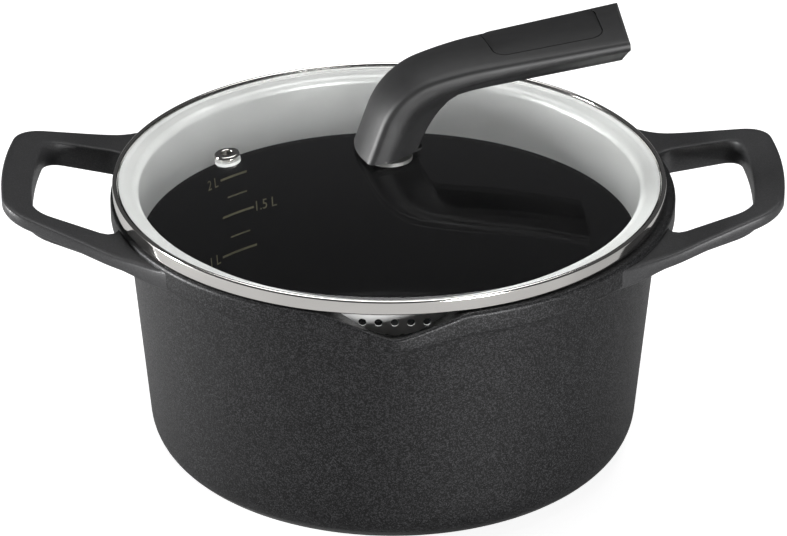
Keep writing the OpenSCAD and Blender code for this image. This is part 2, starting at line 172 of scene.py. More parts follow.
# %% [markdown]
# ## Non-stick lining
# Inside, the pot is glossy black. A real lining is not a mirror: it was sprayed on, so a broad,
# shallow orange peel bends its reflections, and its gloss wanders a little from place to place.

# %% Non-stick lining
lining, tree, shader, coords = new_material("nonstick_lining")
black = ramp(tree, noise(tree, coords, 900, 2),
             [(0.3, (0.005, 0.005, 0.005)), (0.8, (0.012, 0.012, 0.013))])
tree.links.new(black, shader.inputs["Base Color"])
tree.links.new(remap(tree, noise(tree, coords, 90, 3), 0.16, 0.3), shader.inputs["Roughness"])
add_bump(tree, shader, noise(tree, coords, 260, 2), 0.12, 0.0002)

# %% [markdown]
# ## Steel
# The lid's ring and the vent are polished. The strainer skirt is blasted, which scatters part of
# the light, so its finish mixes metal with a pale diffuse share.
# Polishing leaves hair lines that run round the ring, so the noise is squeezed along Z to draw
# them, and on the skirt the same lines are stronger and the gloss is broader.

# %% Steel
def steel(name, colour, rough_low, rough_high, bump, metal=1.0):
    material, tree, shader, coords = new_material(name)
    lines = noise(tree, coords, 220, 4, (0.05, 0.05, 14))
    stain = noise(tree, coords, 35, 3)
    tinted = tuple(c * 0.93 for c in colour)
    tree.links.new(ramp(tree, stain, [(0.35, tinted), (0.7, colour)]), shader.inputs["Base Color"])
    tree.links.new(remap(tree, lines, rough_low, rough_high), shader.inputs["Roughness"])
    add_bump(tree, shader, lines, bump, 0.00005)
    shader.inputs["Metallic"].default_value = metal
    return material


polished_steel = steel("polished_steel", (0.83, 0.81, 0.78), 0.06, 0.16, 0.05)
satin_steel = steel("satin_steel", (0.88, 0.88, 0.87), 0.3, 0.45, 0.15, 0.3)
turned_steel = steel("turned_steel", (0.6, 0.59, 0.58), 0.25, 0.45, 0.25)
brass, tree, shader, coords = new_material("insert_brass")
yellow = ramp(tree, noise(tree, coords, 400, 3), [(0.3, (0.5, 0.36, 0.13)), (0.7, (0.66, 0.5, 0.22))])
tree.links.new(yellow, shader.inputs["Base Color"])
tree.links.new(remap(tree, noise(tree, coords, 700, 2), 0.25, 0.4), shader.inputs["Roughness"])
shader.inputs["Metallic"].default_value = 1.0

# %% [markdown]
# ## Glass
# The dome is clear tempered glass, 3.5 mm thick, so it is a closed solid that really refracts.
# Light that only passes through on its way to the steel and the lining should not be blocked, so
# rays that look for lamps see a lightly tinted, see-through surface in place of the glass.

# %% Glass
glass, tree, shader, coords = new_material("clear_glass")
shader.inputs["Transmission Weight"].default_value = 1.0
shader.inputs["IOR"].default_value = 1.46
tint = ramp(tree, noise(tree, coords, 20, 2), [(0.3, (0.975, 0.98, 0.978)), (0.7, (0.98, 0.985, 0.983))])
tree.links.new(tint, shader.inputs["Base Color"])
tree.links.new(remap(tree, noise(tree, coords, 140, 3), 0.0, 0.015), shader.inputs["Roughness"])
clear = tree.nodes.new("ShaderNodeBsdfTransparent")
clear.inputs["Color"].default_value = (0.92, 0.93, 0.925, 1)
rays = tree.nodes.new("ShaderNodeLightPath")
choose = tree.nodes.new("ShaderNodeMixShader")
tree.links.new(rays.outputs["Is Shadow Ray"], choose.inputs["Fac"])
tree.links.new(shader.outputs["BSDF"], choose.inputs[1])
tree.links.new(clear.outputs["BSDF"], choose.inputs[2])
tree.links.new(choose.outputs["Shader"], tree.nodes["Material Output"].inputs["Surface"])

# %% [markdown]
# ## Plastic, rubber and paint
# The grip is heat-resistant plastic with the faint grain of a blasted mould. The inlay on its arm
# is the same plastic with a finer grain. The gasket and grommet are dull silicone, and the level
# marks inside the pot are a thin print in a pale sand colour.

# %% Plastic, rubber and paint
def moulded(name, dark, light, rough, grain, bump):
    material, tree, shader, coords = new_material(name)
    colour = ramp(tree, noise(tree, coords, 300, 3), [(0.3, dark), (0.7, light)])
    gloss = remap(tree, noise(tree, coords, 45, 2), rough - 0.05, rough + 0.05)
    tree.links.new(colour, shader.inputs["Base Color"])
    tree.links.new(gloss, shader.inputs["Roughness"])
    add_bump(tree, shader, noise(tree, coords, grain, 2), bump, 0.0001)
    return material


grip_plastic = moulded("grip_plastic", (0.008, 0.008, 0.0083), (0.012, 0.012, 0.0125), 0.52, 2600, 0.25)
inlay_plastic = moulded("inlay_plastic", (0.008, 0.008, 0.0083), (0.012, 0.012, 0.0125), 0.48, 3600, 0.15)
silicone = moulded("silicone", (0.006, 0.006, 0.006), (0.01, 0.01, 0.01), 0.7, 1200, 0.1)
mark_print = moulded("mark_print", (0.2, 0.18, 0.1), (0.27, 0.25, 0.15), 0.5, 2000, 0.1)

# %% [markdown]
# ## Finishes for the CAD nodes
# The small lid parts are already the right shape, so they stay and only get a finish. The node's
# material list is cleared and refilled, which leaves its mesh alone.

# %% Finishes for the CAD nodes
def dress(node, material):
    nodes[node].data.materials.clear()
    nodes[node].data.materials.append(material)


for node, material in {"pot_body": cast_coat, "left_handle": handle_coat_painted_light, "right_handle": handle_coat_painted_light,
                       "induction_disc": turned_steel, "glass_dome": glass, "rim_ring": polished_steel,
                       "strainer_skirt": satin_steel, "vent_eyelet": polished_steel,
                       "vent_washer": satin_steel, "lid_grip": grip_plastic, "grip_inlay": inlay_plastic,
                       "foot_gasket": silicone, "glass_grommet": silicone, "threaded_insert": brass,
                       "screw_washer": turned_steel, "grip_screw": polished_steel}.items():
    dress(node, material)
print("dressed", len(nodes), "nodes")

# %% [markdown]
# ## Finishing a piece
# Each new piece ends the same way: close vertices are merged, the normals are turned outwards,
# the mesh gets its finishes and the object rides on a body of the frame.

# %% Finishing a piece
def finish_piece(bm, name, body, *materials, merge=True, sharp=None):
    if merge:
        bmesh.ops.remove_doubles(bm, verts=bm.verts, dist=1e-6)
    bmesh.ops.recalc_face_normals(bm, faces=bm.faces)
    mesh = bpy.data.meshes.new(name)
    bm.to_mesh(mesh)
    bm.free()
    for material in materials:
        mesh.materials.append(material)
    mesh.shade_smooth()
    if sharp is not None:
        mesh.set_sharp_from_angle(angle=math.radians(sharp))
    piece = bpy.data.objects.new(name, mesh)
    bpy.context.scene.collection.objects.link(piece)
    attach(piece, body)
    print(name, len(mesh.polygons), "faces")
    return piece


def arc(centre, radius, start, end, steps):
    """Points on an arc, angles in degrees."""
    turn = [math.radians(start + (end - start) * i / steps) for i in range(steps + 1)]
    return [(centre[0] + radius * math.cos(a), centre[1] + radius * math.sin(a)) for a in turn]


def lathe(bm, points, steps=256):
    """Spins an open line of (radius, height) points in millimetres about the Z axis."""
    line = [bm.verts.new((r * MM, 0, z * MM)) for r, z in points]
    edges = [bm.edges.new(pair) for pair in zip(line, line[1:])]
    bmesh.ops.spin(bm, geom=line + edges, cent=(0, 0, 0), axis=(0, 0, 1), angle=2 * math.pi,
                   steps=steps, use_merge=True)

# %% [markdown]
# ## Pot
# The pot is a lathe shape: one line runs from under the base, up the drafted wall, round the rim
# band and down the inside. The pouring notch is then pressed into the rim, as a mould would.
# The top of the rim sinks in a shallow V and the band is drawn out to a soft point. The floor of
# the notch falls inwards as far as the inner wall. Moving the points of a fine lathe keeps the
# blend between notch, lip and wall free of hard seams.

# %% Pot line
POT_H, DRAFT, FOOT_R, FOOT_ROUND, WALL = 107.0, math.radians(5), 95.3, 16.0, 3.1
RIM_R, BAND_Z, FLOOR = 110.0, 97.6, 5.0
DISC_R, DISC_SINK = 72.0, 1.2
BAND_ROUND, RIM_ROUND, MOUTH_ROUND = 2.2, 1.6, 0.9


def wall_r(z):
    return FOOT_R + z * math.tan(DRAFT)


def cavity_r(z):
    return wall_r(z) - WALL / math.cos(DRAFT)


inner_round = FOOT_ROUND - WALL
foot_centre = (wall_r(FOOT_ROUND) - FOOT_ROUND / math.cos(DRAFT), FOOT_ROUND)
floor_centre = (cavity_r(FLOOR + inner_round) - inner_round / math.cos(DRAFT), FLOOR + inner_round)
outside = [(r, DISC_SINK) for r in (0, 36, DISC_R - 0.1, DISC_R)] + [(DISC_R, 0), (DISC_R + 1, 0)]
outside += arc(foot_centre, FOOT_ROUND, -90, -5, 14)
outside += [(wall_r(z), z) for z in (20, 26, 34, 42, 50, 58, 66, 74, 80, 85, 89, 91.5, 93.4)]
outside += arc((wall_r(96) + BAND_ROUND, 95.2), BAND_ROUND, 170, 95, 5)
outside += [(106.6, BAND_Z), (108, BAND_Z)]
outside += arc((RIM_R - RIM_ROUND, BAND_Z + RIM_ROUND), RIM_ROUND, -80, 0, 5)
outside += [(RIM_R, 101.6), (RIM_R, 103.4), (RIM_R, 105)]
outside += arc((RIM_R - RIM_ROUND, POT_H - RIM_ROUND), RIM_ROUND, 0, 90, 6)
inside = [(107, POT_H), (105, POT_H), (103.4, POT_H)]
inside += arc((cavity_r(POT_H) + MOUTH_ROUND, POT_H - MOUTH_ROUND), MOUTH_ROUND, 95, 175, 4)
inside += [(cavity_r(z), z) for z in (104.6, 102.6, 100.4, 98, 95, 91, 86, 80, 72, 62, 50, 38, 28)]
inside += arc(floor_centre, inner_round, -5, -90, 12)
inside += [(r, FLOOR) for r in (70, 50, 30, 12, 0)]
print("pot line has", len(outside) + len(inside), "points")

# %% Pot with its notch
NOTCH_HALF, NOTCH_DROP, SPOUT_FALL, LIP_SAG = 23.0, 6.2, 5.4, 2.6
NOTCH_ROUND, NOTCH_EASE, SHOULDER_ROUND = 6.0, 1.2, 0.25
LIP_REACH, LIP_ROUND, LIP_HALF, LIP_FADE = 116.6, 9.0, 30.0, 8.0
SAG_HALF, SAG_FADE = 34.0, 16.0
PRESSED_X, PRESSED_Z, FALL_START, PUSH_START = 45.0, 60.0, 85.0, 103.6
SPOUT_R, SPOUT_RUN, SPOUT_OPEN, INNER_SKIN = 111.0, 7.4, 1.5, 1.2


def notch_depth(x):
    """How far the rim sinks at x: a V with a round bottom and round shoulders."""
    slope = NOTCH_DROP / NOTCH_HALF
    side = NOTCH_DROP - slope * (math.sqrt(x * x + NOTCH_ROUND) - NOTCH_EASE)
    return 0.5 * (side + math.sqrt(side * side + SHOULDER_ROUND)) if side > -4 else 0.0


def lip_push(x):
    """How far the band is drawn out at x."""
    out = LIP_REACH - math.sqrt(x * x + LIP_ROUND) / 3 - math.sqrt(RIM_R * RIM_R - x * x)
    fade = min(max((LIP_HALF - abs(x)) / LIP_FADE, 0), 1)
    return max(out, 0) * fade * fade * (3 - 2 * fade)


def lip_sag(x):
    """How far the underside of the band hangs down at x."""
    return LIP_SAG * max(0, math.cos(min(abs(x) / SAG_HALF, 1) * math.pi / 2)) ** 2


def press_notch(point):
    """Presses one point: the band is drawn out and its floor falls from the lip to the inner wall."""
    x, y, z = (v / MM for v in point)
    if y > 0 or abs(x) > PRESSED_X or z < PRESSED_Z:
        return
    radius = math.hypot(x, y)
    opened = min(SPOUT_OPEN * notch_depth(x) / NOTCH_DROP, 1)
    if z > POT_H - 0.1 or radius < cavity_r(z) + INNER_SKIN:
        inward = min(max((SPOUT_R - radius) / SPOUT_RUN, 0), 1)
        share = max(0, (z - FALL_START) / (POT_H - FALL_START)) ** 1.5
        z -= share * (notch_depth(x) + opened * SPOUT_FALL * inward)
    elif z >= BAND_Z:
        share = (z - BAND_Z) / (POT_H - BAND_Z)
        z -= notch_depth(x) * share + lip_sag(x) * (1 - share)
    else:
        z -= lip_sag(x) * max(0, 1 - (BAND_Z - z) / SAG_FADE)
    push = lip_push(x) * min(max((radius - PUSH_START) / (RIM_R - PUSH_START), 0), 1)
    point.x, point.y, point.z = x * (1 + push / radius) * MM, y * (1 + push / radius) * MM, z * MM


bm = bmesh.new()
lathe(bm, outside + inside, 360)
bmesh.ops.remove_doubles(bm, verts=bm.verts, dist=1e-6)
bmesh.ops.recalc_face_normals(bm, faces=bm.faces)
for face in bm.faces:
    middle = face.calc_center_median() / MM
    lined = middle.z > FLOOR - 0.5 and math.hypot(middle.x, middle.y) < cavity_r(middle.z) + 0.6
    face.material_index = 1 if lined else 0
for vert in bm.verts:
    press_notch(vert.co)
pot = finish_piece(bm, "saucepan_body", "pot", cast_coat, lining)
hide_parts("pot_body")

# %% [markdown]
# ## Side handles
# Each handle is a flat loop that leaves the rim, sweeps up and closes round a finger opening.
# It is lofted: two plan lines, the outer edge and the edge of the opening, are sampled at the
# same number of places, and a rounded section is stretched between each pair. Bridging the
# sections gives an even skin whose edges are really round, which a bevel on a cut plate would not.
# The lip under the opening grows out of the root over a few sections. The second handle is the
# first one mirrored, and finishing it turns its normals outwards again.

# %% Plan of a handle
HANDLE = dict(half=56.4, taper=0.41, reach=151.6, bow=195.0, corner=18.0)
OPENING = dict(half=38.6, taper=0.2, reach=139.8, bow=208.0, corner=9.5)
ROOT_BLEND, ROOT_FILLET, ROOT_X, HIDDEN_R = 138.0, 5.0, 102.0, 108.8
HALF_X, ROOT_SINK = 100.0, 1.2


def turn_of(direction):
    return math.degrees(math.atan2(direction[1], direction[0]))


def points_on(centre, radius, start, end, steps):
    return [Vector(point) for point in arc(centre, radius, start, end, steps)]


def evenly(line, count):
    """The same line with its points spaced evenly."""
    runs = [(b - a).length for a, b in zip(line, line[1:])]
    points, k, passed = [], 0, 0.0
    for i in range(count):
        goal = sum(runs) * i / (count - 1)
        while k < len(runs) - 1 and passed + runs[k] < goal:
            passed += runs[k]
            k += 1
        points.append(line[k].lerp(line[k + 1], (goal - passed) / runs[k]))
    return points


def side_frame(plan, inset):
    """Normal and direction of the straight side, and its distance from the pot's axis."""
    side = math.atan(plan["taper"])
    normal = Vector((math.sin(side), math.cos(side)))
    along = Vector((math.cos(side), -math.sin(side)))
    return normal, along, plan["half"] * math.cos(side) + HALF_X * math.sin(side) - inset


def outer_end(plan, inset):
    """The rounded corner and the bow, as far as the tip."""
    normal, along, off = side_frame(plan, inset)
    bow, corner = plan["bow"] - inset, plan["corner"] - inset
    middle = Vector((plan["reach"] - inset - bow, 0))
    rest = normal * (off - corner) - middle
    run = -rest.dot(along) + math.sqrt(rest.dot(along) ** 2 - rest.dot(rest) + (bow - corner) ** 2)
    centre = normal * (off - corner) + along * run
    bow_turn = turn_of(centre - middle)
    rounding = points_on(centre, corner, turn_of(normal), bow_turn, 9)
    return rounding + points_on(middle, bow, bow_turn, 0, 9)[1:]


def outer_line(inset):
    """Half of the outer edge: a blend off the rim, the side, the corner and the bow."""
    normal, along, off = side_frame(HANDLE, inset)
    end = outer_end(HANDLE, inset)
    blend, hub = ROOT_BLEND + inset, RIM_R - ROOT_SINK - inset
    lean = math.radians(turn_of(normal)) - math.acos((off + blend) / (hub + blend))
    heart = Vector((math.cos(lean), math.sin(lean))) * (hub + blend)
    line = points_on(heart, blend, math.degrees(lean) + 180, turn_of(normal) + 180, 60) + [end[0]]
    split = next(k for k, point in enumerate(line) if point.x > ROOT_X)
    return evenly(line[:split + 1], 9) + evenly(line[split:], 15)[1:] + end[1:]


def opening_line(grow):
    """Half of the opening's edge, which starts out of sight inside the rim."""
    normal, along, off = side_frame(OPENING, -grow)
    end = outer_end(OPENING, -grow)
    fillet = ROOT_FILLET + grow
    across = off - fillet
    heart = normal * across + along * math.sqrt((RIM_R + ROOT_FILLET) ** 2 - across ** 2)
    rim_turn = turn_of(heart)
    hidden = points_on((0, 0), HIDDEN_R - grow, turn_of(outer_line(0)[0]), rim_turn, 8)[:-1]
    root = points_on(heart, fillet, rim_turn + 180, turn_of(normal), 4)
    return hidden + root + evenly([root[-1], end[0]], 11)[1:] + end[1:]


print("handle plan has", len(outer_line(0)), "and", len(opening_line(0)), "points a side")

# %% Handle section
SWEEP_X, SWEEP_R, RISE, ROOT_Z = 100.0, 47.0, math.radians(15), 104.6
PLATE_T, ROOT_LIFT, ROOT_SWELL, ROOT_TUCK = 5.2, 2.2, 2.3, 0.6
LIP_DEPTH, LIP_X, LIP_TAPER, LIP_FROM, LIP_GROWTH = 11.2, 102.0, 37.0, 4, 4


def smooth(x, start, end):
    """Eases from 0 at start to 1 at end."""
    share = min(max((x - start) / (end - start), 0), 1)
    return share * share * (3 - 2 * share)


def sweep_z(x):
    """Height of the handle's top at x: level, then an arc, then a steady rise."""
    bend_end = SWEEP_X + SWEEP_R * math.sin(RISE)
    if x < SWEEP_X:
        return ROOT_Z
    if x < bend_end:
        return ROOT_Z + SWEEP_R - math.sqrt(SWEEP_R ** 2 - (x - SWEEP_X) ** 2)
    return ROOT_Z + SWEEP_R * (1 - math.cos(RISE)) + (x - bend_end) * math.tan(RISE)


def top_z(x):
    return sweep_z(x) + ROOT_LIFT * smooth(x, 91, 80)


def low_z(x):
    return sweep_z(x) - PLATE_T - ROOT_SWELL * smooth(x, 104, 91) + ROOT_TUCK * smooth(x, 88, 80)


def lip_z(x, share):
    """Height of the lower edge of the lip round the opening, where the lip has grown to share."""
    full = sweep_z(x) - LIP_DEPTH + (x - LIP_X) / LIP_TAPER
    return low_z(x) * (1 - share) + full * share


outer = {inset: outer_line(inset) for inset in (0, 0.3, 0.5, 1, 1.5, 3)}
inner = {grow: opening_line(grow) for grow in (0, 0.3, 1, 2.4, 3, 3.2, 3.5, 4.6)}


def handle_sections():
    """One closed section after another, from the far rim round the tip to the near rim."""
    count = len(outer[0])
    for k, i in enumerate(list(range(count)) + list(range(count - 2, -1, -1))):
        far = k < count
        share = min(max((i - LIP_FROM) / LIP_GROWTH, 0), 1)
        low, top, lip = low_z, top_z, (lambda x: lip_z(x, share))
        section = [(outer[1.5][i], low, 0), (outer[0.5][i], low, 0.35), (outer[0][i], low, 1.2),
                   (outer[0][i], top, -1), (outer[0.3][i], top, -0.3), (outer[1][i], top, 0),
                   (outer[3][i], top, 0)]
        section += [(outer[3][i].lerp(inner[3][i], t), top, 0) for t in (1 / 3, 2 / 3)]
        section += [(inner[3][i], top, 0), (inner[1][i], top, 0), (inner[0.3][i], top, -0.3),
                    (inner[0][i], top, -1), (inner[0][i], lip, 1), (inner[0.3][i], lip, 0.3),
                    (inner[1][i], lip, 0), (inner[2.4][i], lip, 0), (inner[3.2][i], lip, 0.9 * share),
                    (inner[3.5][i], low, -1.2 * share), (inner[4.6][i], low, 0)]
        yield [Vector((p.x, p.y if far else -p.y, level(p.x) + more)) * MM for p, level, more in section]


def bridge_sections(bm, sections):
    """Skins a row of closed sections and closes the first and the last."""
    last = None
    for section in sections:
        ring = [bm.verts.new(point) for point in section]
        edges = [bm.edges.new((ring[k - 1], ring[k])) for k in range(len(ring))]
        if last:
            bmesh.ops.bridge_loops(bm, edges=last + edges)
        else:
            bm.faces.new(ring)
        last = edges
    bm.faces.new(ring)


bm = bmesh.new()
bridge_sections(bm, handle_sections())
right = finish_piece(bm, "handle_right", "pot", handle_coat_painted_light, merge=False)
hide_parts("right_handle")

# %% The other handle
bm = bmesh.new()
bm.from_mesh(right.data)
bmesh.ops.scale(bm, vec=(-1, 1, 1), verts=bm.verts)
left = finish_piece(bm, "handle_left", "pot", handle_coat_painted_light, merge=False)
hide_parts("left_handle")

# %% [markdown]
# ## Glass dome
# The dome is a shallow cap of even thickness with a hole for the grip's screw. Its mesh is spun
# from a closed line, so that both faces are smooth: glass shows every facet of a coarse mesh.

# %% Glass dome
LID_X, LID_Y = -1.4, -0.8
DOME_R, GLASS_T, GLASS_R, GROMMET_R = 511.0, 3.5, 105.6, 4.5
GLASS_EDGE_Z, EASE_R, EASE_Z, EDGE_ROUND = 108.6, 0.15, 0.2, 0.6


def fall(r, radius=DOME_R):
    return radius - math.sqrt(radius * radius - r * r)


dome_top = GLASS_EDGE_Z + GLASS_T + fall(GLASS_R, DOME_R - GLASS_T) + 0.02
spread = [GROMMET_R + (GLASS_R - 0.5 - GROMMET_R) * i / 40 for i in range(41)]
over = [(r, dome_top - fall(r)) for r in spread]
under = [(r, dome_top - GLASS_T - fall(r, DOME_R - GLASS_T)) for r in reversed(spread)]
edge = [(GLASS_R - EASE_R, over[-1][1] - EASE_Z), (GLASS_R, over[-1][1] - EDGE_ROUND),
        (GLASS_R, under[0][1] + EDGE_ROUND), (GLASS_R - EASE_R, under[0][1] + EASE_Z)]
bm = bmesh.new()
lathe(bm, over + edge + under + over[:1], 256)
bmesh.ops.translate(bm, vec=Vector((LID_X, LID_Y, 0)) * MM, verts=bm.verts)
dome = finish_piece(bm, "glass_cap", "lid", glass, sharp=50)
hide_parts("glass_dome")

# %% [markdown]
# ## Steel ring
# The ring that holds the glass is rolled from sheet: a leg under the glass, an upright band and a
# full round bead on top. A fine lathe with many points round the bead keeps the reflections clean.

# %% Steel ring
LID_R, BEAD, SHEET, LEG_R, LEG_Z = 107.6, 0.9, 0.6, 104.0, 107.4
upright_r, leg_top = LID_R - SHEET, LEG_Z + SHEET
bead_x = LID_R - BEAD
bead_z = dome_top - fall(bead_x) + 0.2
ring_line = [(LEG_R, LEG_Z), (106.9, LEG_Z)] + arc((upright_r, leg_top), SHEET, -90, 0, 5)
ring_line += [(LID_R, 109), (LID_R, 110.5)] + arc((bead_x, bead_z), BEAD, 0, 250, 22)
ring_line += [(upright_r, bead_z - 1.1), (upright_r, 109), (upright_r, leg_top)]
ring_line += [(LEG_R, leg_top), (LEG_R, LEG_Z)]
bm = bmesh.new()
lathe(bm, ring_line, 256)
bmesh.ops.translate(bm, vec=Vector((LID_X, LID_Y, 0)) * MM, verts=bm.verts)
ring = finish_piece(bm, "lid_ring", "lid", polished_steel, sharp=40)
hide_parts("rim_ring")

# %% [markdown]
# ## Grip
# The grip rises from a small foot, bends over and reaches out as a broad, slightly crowned arm.
# It is lofted along the line of its ridges. Each section has a crown, two soft ridges and hollow
# flanks that draw in to a narrow keel. Along the arm the sections turn a little about the near
# ridge and their crown flattens. The foot is cut level with a bisecting plane, and the sections
# near the end lean, so that the end comes out aslant and hollow.

# %% Line of the grip
FOOT_Z = dome_top + 0.9
LEG, ARM = math.radians(70), math.radians(5.6)
TURN, BEND_R, SLACK_R, LEG_L = math.radians(54.7), 29.0, 150.0, 15.4
KEEL = Vector((22.1, FOOT_Z + 25.8))
KEEL_LEG, KEEL_ARM = math.radians(64.4), math.radians(4.6)
GRIP_REACH, CROWN, END_CROWN = 90.5, 2.2, 1.25
ROLL, ROLL_START, ROLL_AXIS = math.radians(2.2), 38.0, -18.0


def heading(angle):
    return Vector((math.cos(angle), math.sin(angle)))


foot_ridge = Vector((-10.6, FOOT_Z))
bend_start = foot_ridge + LEG_L * heading(LEG)
bend_centre = bend_start + BEND_R * heading(LEG - math.pi / 2)
mid_slope = LEG - TURN
slack_start = bend_centre + BEND_R * heading(mid_slope + math.pi / 2)
slack_centre = slack_start + SLACK_R * heading(mid_slope - math.pi / 2)
arm_start = slack_centre + SLACK_R * heading(ARM + math.pi / 2)
stations = [(foot_ridge + s * heading(LEG), LEG) for s in (-9, -5, -2, 1, 4, 7, 10, 13)]
stations += [(bend_centre + BEND_R * heading(a + math.pi / 2), a)
             for a in (LEG - TURN * i / 16 for i in range(17))]
stations += [(slack_centre + SLACK_R * heading(a + math.pi / 2), a)
             for a in (mid_slope + (ARM - mid_slope) * i / 6 for i in range(1, 7))]
arm_run = (GRIP_REACH - arm_start.x) / math.cos(ARM)
stations += [(arm_start + arm_run * i / 16 * heading(ARM), ARM) for i in range(1, 14)]
stations += [(arm_start + arm_run * (1 - i / 48) * heading(ARM), ARM) for i in range(6, -1, -1)]
print("grip has", len(stations), "sections; its arm starts at", tuple(round(v, 1) for v in arm_start))

# %% Section of the grip
FOOT_U, BEND_U, END_U = -4.0, 36.0, 95.0
FOOT_HALF, BEND_HALF, END_HALF = 13.25, 16.3, 18.1
KEEL_ROUND, FLANK_R, FLANK_OUT, FLANK_DOWN = 18.0, 40.0, 41.7, 35.4
LEAN_START, END_EDGE, SLANT, NEAR_NOSE = 60.0, 18.0, 200.0, 0.6
HOLLOW_L, HOLLOW, HOLLOW_DEPTH = 7.0, 3.2, 11.5


def keel_depth(point, slope):
    """Distance from the ridge line to the keel, square to the line."""
    down = heading(slope - math.pi / 2)
    found = []
    for angle in (KEEL_LEG, KEEL_ARM):
        along = heading(angle)
        cross = down.x * along.y - down.y * along.x
        gap = KEEL - point
        found.append((gap.x * along.y - gap.y * along.x) / cross)
    leg, arm = found
    return 0.5 * (leg + arm) + 0.5 * math.sqrt((leg - arm) ** 2 + KEEL_ROUND)


def arm_share(u):
    """How far along the arm u lies: 0 where it leaves the bend, 1 at its end."""
    return min(max((u - ROLL_START) / (GRIP_REACH - ROLL_START), 0), 1)


def crown_at(u):
    return CROWN + (END_CROWN - CROWN) * arm_share(u)


def half_width(u):
    """Half the grip's width over the ridges at distance u from the lid's centre."""
    if u < FOOT_U:
        return FOOT_HALF
    if u < BEND_U:
        return FOOT_HALF + (BEND_HALF - FOOT_HALF) * (u - FOOT_U) / (BEND_U - FOOT_U)
    return BEND_HALF + (END_HALF - BEND_HALF) * (u - BEND_U) / (END_U - BEND_U)


def crown_z(u, across):
    """Height of the crown over the ridge line."""
    half, crown = half_width(u), crown_at(u)
    crown_r = (half * half + crown * crown) / (2 * crown)
    return crown - crown_r + math.sqrt(crown_r ** 2 - across ** 2)


def flank(depth):
    """Half width that the hollow flank leaves at a depth below the ridges."""
    return FLANK_OUT - math.sqrt(FLANK_R ** 2 - (FLANK_DOWN - depth) ** 2)


def grip_section(u, depth):
    """Closed section as (across, below ridge) pairs, from one ridge over the crown and round."""
    half = half_width(u)
    tops = [half * s for s in (-0.9, -0.75, -0.5, -0.25, 0, 0.25, 0.5, 0.75, 0.9)]
    top = [(y, -crown_z(u, y)) for y in tops]
    ridge = [(half - 0.9, 0.05), (half - 0.25, 0.75), (half, 1.9)]
    side = [(min(half, flank(d)), d) for d in (3.2, 4.6, 6.2, 8.0, 10.0) if d < depth - 2]
    while len(side) < 5:
        side.append(side[-1])
    low = min(half, flank(depth - 1.2))
    keel = [(low, depth - 1.2), (low - 0.35, depth - 0.35), (low - 1.2, depth)]
    right_side = ridge + side + keel
    return top + right_side + [(0, depth)] + [(-y, d) for y, d in reversed(right_side)]


def place(point, slope, across, below):
    """A point of a section in space: the arm turns a little about its near ridge, and its end leans."""
    turn = ROLL * arm_share(point.x)
    y = ROLL_AXIS + (across - ROLL_AXIS) * math.cos(turn) + below * math.sin(turn)
    depth = below * math.cos(turn) - (across - ROLL_AXIS) * math.sin(turn)
    lean = min(max((point.x - LEAN_START) / (GRIP_REACH - LEAN_START), 0), 1) ** 2
    tip = min(max((point.x - GRIP_REACH + HOLLOW_L) / HOLLOW_L, 0), 1)
    near = (END_EDGE - across) / (2 * END_EDGE)
    nose = lean * ((across + END_EDGE) ** 2 / SLANT + NEAR_NOSE * near ** 2)
    nose -= tip * HOLLOW * (1 - math.sqrt(1 - min(max(below, 0) / HOLLOW_DEPTH, 1) ** 2))
    spot = point + heading(slope - math.pi / 2) * depth + heading(slope) * nose
    return Vector((spot.x, y, spot.y)) * MM


sections = []
for point, slope in stations:
    outline = grip_section(point.x, keel_depth(point, slope))
    sections.append([place(point, slope, across, below) for across, below in outline])
print("grip section has", len(sections[0]), "points")

# %% Skin of the grip
GRIP_TURN = math.radians(14)
bm = bmesh.new()
bridge_sections(bm, sections)
bmesh.ops.recalc_face_normals(bm, faces=bm.faces)
cut = bmesh.ops.bisect_plane(bm, geom=bm.verts[:] + bm.edges[:] + bm.faces[:], dist=1e-7,
                             plane_co=(0, 0, FOOT_Z * MM), plane_no=(0, 0, -1), clear_outer=True)
rim_edges = [e for e in cut["geom_cut"] if isinstance(e, bmesh.types.BMEdge)]
bmesh.ops.holes_fill(bm, edges=rim_edges, sides=0)
to_lid = Matrix.Translation(Vector((LID_X, LID_Y, 0)) * MM) @ Matrix.Rotation(GRIP_TURN, 4, "Z")
bmesh.ops.transform(bm, matrix=to_lid, verts=bm.verts)
grip = finish_piece(bm, "grip", "lid", grip_plastic, merge=False, sharp=55)

# %% [markdown]
# ## Inlay
# A plate is let into the crown of the arm. Both the pocket and the plate are patches that follow
# the crown: rings of a rounded rectangle, laid on the surface at two heights. The pocket's patch
# is cut out of the grip with a Boolean, and the plate's is a hair smaller, which leaves the gap.

# %% Patch on the crown
INLAY_START, INLAY_END, INLAY_NEAR, INLAY_FAR, INLAY_CORNER = 40.0, 83.0, -9.5, 16.2, 5.0


def on_arm(u, across, lift):
    point = arm_start + (u - arm_start.x) / math.cos(ARM) * heading(ARM)
    return to_lid @ place(point, ARM, across, -crown_z(u, across) - lift)


def patch_ring(grow, share, lift):
    """A rounded rectangle on the crown, drawn towards its middle by share."""
    length, width = (INLAY_END - INLAY_START) / 2 + grow, (INLAY_FAR - INLAY_NEAR) / 2 + grow
    corner = INLAY_CORNER + grow
    middle = ((INLAY_START + INLAY_END) / 2, (INLAY_NEAR + INLAY_FAR) / 2)
    ring = []
    for quarter, (x, y) in enumerate(((1, 1), (-1, 1), (-1, -1), (1, -1))):
        centre = (x * (length - corner), y * (width - corner))
        ring += arc(centre, corner, 90 * quarter, 90 * quarter + 90, 6)
    return [on_arm(middle[0] + u * share, middle[1] + v * share, lift) for u, v in ring]


